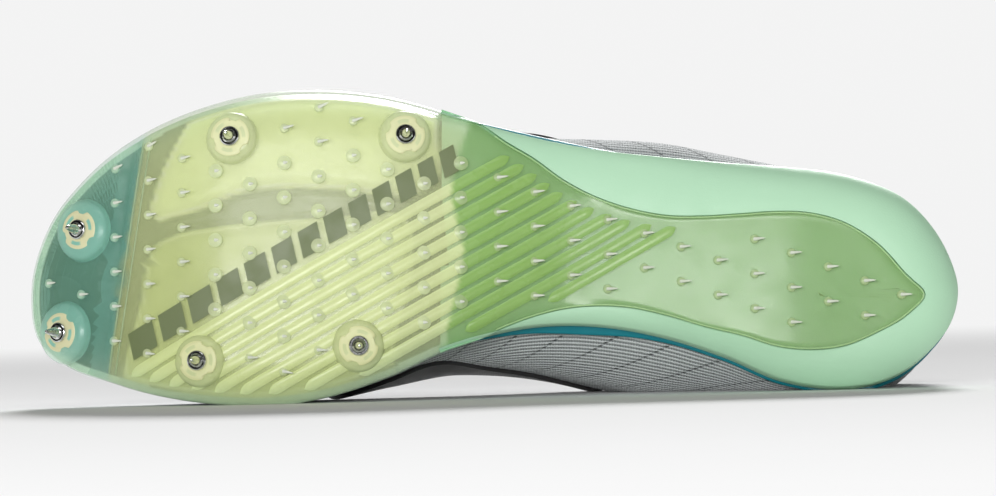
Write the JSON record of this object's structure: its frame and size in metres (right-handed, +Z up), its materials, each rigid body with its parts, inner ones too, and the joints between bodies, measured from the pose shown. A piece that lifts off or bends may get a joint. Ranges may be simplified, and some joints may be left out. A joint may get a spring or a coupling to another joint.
{
  "type": "track spike shoe",
  "caption": "Sprint running shoe with a curved translucent plate, screw-in spikes, forefoot cushions, a thin foam heel and a light knit upper, lying on its side.",
  "frame": {"origin": "middle of the part's box in X and Y, on the floor that the shoe lies on", "axes": "+X towards the heel, -Y the way that the sole faces, +Z up from the medial side that it lies on to its lateral side"},
  "size_m": [0.284, 0.11, 0.0953],
  "materials": {
    "outsole_plate": "translucent tinted sheet, satin",
    "air_pod": "clear tinted film over a cushion",
    "foam": "moulded foam skin",
    "board": "satin",
    "upper": "fine knit",
    "overlay": "thin bonded film on knit",
    "tongue": "thin padded knit",
    "insole": "thin textile over foam",
    "lace": "flat woven",
    "spike": "bright plated steel",
    "receptacle": "moulded insert"
  },
  "bodies": {
    "root": {"outsole_plate": "outsole_plate", "air_pod_lateral": "air_pod", "air_pod_medial": "air_pod", "midsole_foam": "foam", "board": "board", "upper": "upper", "throat_overlay": "overlay", "tongue": "tongue", "insole": "insole", "lace": "lace", "spike_1": "spike", "spike_2": "spike", "spike_3": "spike", "spike_4": "spike", "spike_5": "spike", "spike_6": "spike", "receptacle_1": "receptacle", "receptacle_2": "receptacle", "receptacle_3": "receptacle", "receptacle_4": "receptacle", "receptacle_5": "receptacle", "receptacle_6": "receptacle"}
  },
  "joints": []
}
